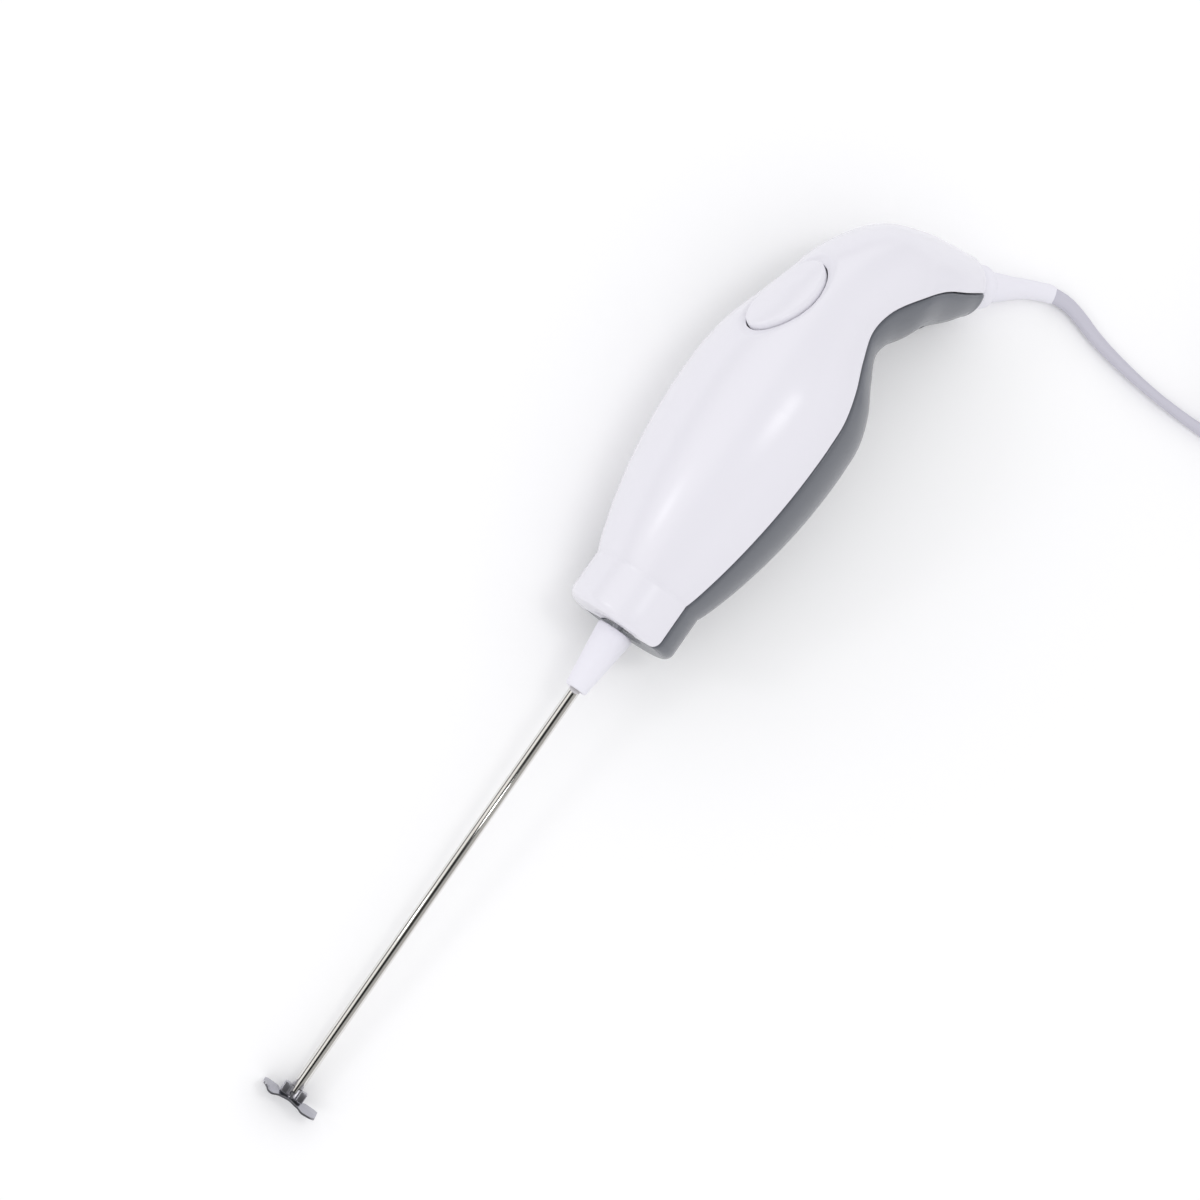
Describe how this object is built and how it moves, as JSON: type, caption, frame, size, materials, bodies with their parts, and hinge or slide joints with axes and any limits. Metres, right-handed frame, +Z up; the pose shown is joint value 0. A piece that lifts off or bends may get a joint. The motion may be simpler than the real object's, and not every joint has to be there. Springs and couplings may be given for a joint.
{
  "type": "milk frother",
  "caption": "Hand-held electric milk frother with a steel rod, a wavy froth blade, a two-tone bulbed body, a thumb button and a mains lead with its plug.",
  "frame": {"origin": "middle of the underside of the frother as it lies on a table, without its lead", "axes": "+Z up from the table, +X level along the rod from the froth blade towards the tail"},
  "size_m": [0.3764, 0.1891, 0.0494],
  "materials": {
    "shell_white": "glossy moulded ABS",
    "shell_grey": "glossy moulded ABS",
    "socket_white": "satin moulded plastic",
    "polished_steel": "mirror polished",
    "motor_steel": "plain steel",
    "bronze": "sintered bronze",
    "pin_metal": "nickel-free brass",
    "copper": "enamelled copper",
    "ferrite": "sintered",
    "soft_rubber": "moulded rubber",
    "lead_pvc": "soft PVC, satin",
    "tie": "ribbed",
    "nylon": "moulded nylon",
    "dark_plastic": "moulded",
    "board": "glass-epoxy laminate",
    "wire_red": "insulation",
    "wire_blue": "insulation",
    "wire_brown": "insulation"
  },
  "bodies": {
    "housing": {"brush_holder_lower": "bronze", "brush_holder_upper": "bronze", "brush_lower": "ferrite", "brush_upper": "ferrite", "button_guide": "nylon", "capacitor": "wire_blue", "choke": "ferrite", "circuit_board": "board", "clamp_screw_1": "motor_steel", "clamp_screw_2": "motor_steel", "cord_clamp": "nylon", "cord_coil": "lead_pvc", "cord_lead": "lead_pvc", "cord_tie": "tie", "front_bearing": "bronze", "front_cushion": "soft_rubber", "lead_end": "lead_pvc", "magnet_lower": "ferrite", "magnet_upper": "ferrite", "motor_can": "motor_steel", "motor_end_cap": "dark_plastic", "motor_wire_1": "wire_red", "motor_wire_2": "wire_blue", "nose_seal": "soft_rubber", "plug_body": "lead_pvc", "plug_lead": "lead_pvc", "plug_pin_1": "pin_metal", "plug_pin_2": "pin_metal", "rear_bearing": "bronze", "rear_cushion": "soft_rubber", "rear_shell": "shell_grey", "rectifier": "dark_plastic", "shell_screw_1": "motor_steel", "shell_screw_2": "motor_steel", "shell_screw_3": "motor_steel", "shell_screw_4": "motor_steel", "strain_relief": "lead_pvc", "supply_wire_1": "wire_brown", "supply_wire_2": "wire_blue", "switch_body": "dark_plastic", "top_shell": "shell_white"},
    "spindle": {"motor_shaft": "motor_steel", "armature_core": "motor_steel", "armature_winding": "copper", "commutator": "copper"},
    "whisk": {"rod_socket": "socket_white", "whisk_rod": "polished_steel", "whisk_hub": "polished_steel", "froth_blade": "polished_steel"},
    "button": {"button": "shell_white", "switch_plunger": "wire_red"}
  },
  "joints": [
    {"name": "motor_spin", "type": "hinge", "parent": "housing", "child": "spindle", "pos_m": [0.00282, 0.00349, 0.01835], "axis": [0.9948, 0, 0.1019], "continuous": true},
    {"name": "whisk_pull", "type": "slide", "parent": "spindle", "child": "whisk", "axis": [-0.9948, 0, -0.1019], "range_m": [0, 0.012]},
    {"name": "button_press", "type": "slide", "parent": "housing", "child": "button", "axis": [-0.2282, -0.7326, -0.6413], "range_m": [0, 0.0016], "stiffness_N_per_m": 1500, "springref_m": -0.0006}
  ]
}
